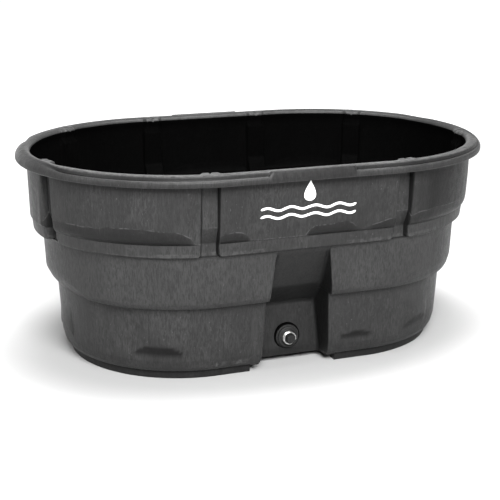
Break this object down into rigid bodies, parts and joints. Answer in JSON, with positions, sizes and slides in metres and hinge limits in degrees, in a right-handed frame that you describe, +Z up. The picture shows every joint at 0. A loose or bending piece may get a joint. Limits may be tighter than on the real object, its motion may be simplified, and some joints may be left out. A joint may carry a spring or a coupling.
{
  "type": "livestock water trough",
  "caption": "Oval livestock water trough with stepped moulded walls, rolled rim, stiffening ribs and a screw-in drain plug in a front pocket.",
  "frame": {"origin": "on the ground under the middle of the tank's outline", "axes": "+Z up, X along the length, the drain side on -Y"},
  "size_m": [1.4726, 0.991, 0.635],
  "materials": {
    "tank_plastic": "matte",
    "mark_ink": "matte",
    "gasket_rubber": "matte",
    "fitting_plastic": "satin",
    "bright_metal": "satin",
    "washer_plastic": "satin"
  },
  "bodies": {
    "tank": {"tank_shell": "tank_plastic", "water_mark": "mark_ink", "outer_gasket": "gasket_rubber", "drain_body": "fitting_plastic", "thread_ring": "bright_metal", "inner_gasket": "gasket_rubber", "slip_washer": "washer_plastic", "lock_nut": "fitting_plastic"},
    "plug_seal": {"plug_o_ring": "gasket_rubber"},
    "plug": {"drain_plug": "fitting_plastic"}
  },
  "joints": [
    {"name": "plug_travel", "type": "slide", "parent": "tank", "child": "plug_seal", "axis": [0, -1, 0], "range_m": [0, 0.0201]},
    {"name": "plug_unscrew", "type": "hinge", "parent": "plug_seal", "child": "plug", "pos_m": [0, -0.31, 0.0795], "axis": [0, -1, 0], "range_deg": [0, 1800]}
  ],
  "couplings": [
    {"joint": "plug_travel", "follows": "plug_unscrew", "m_per_rad": 0.00063662}
  ]
}
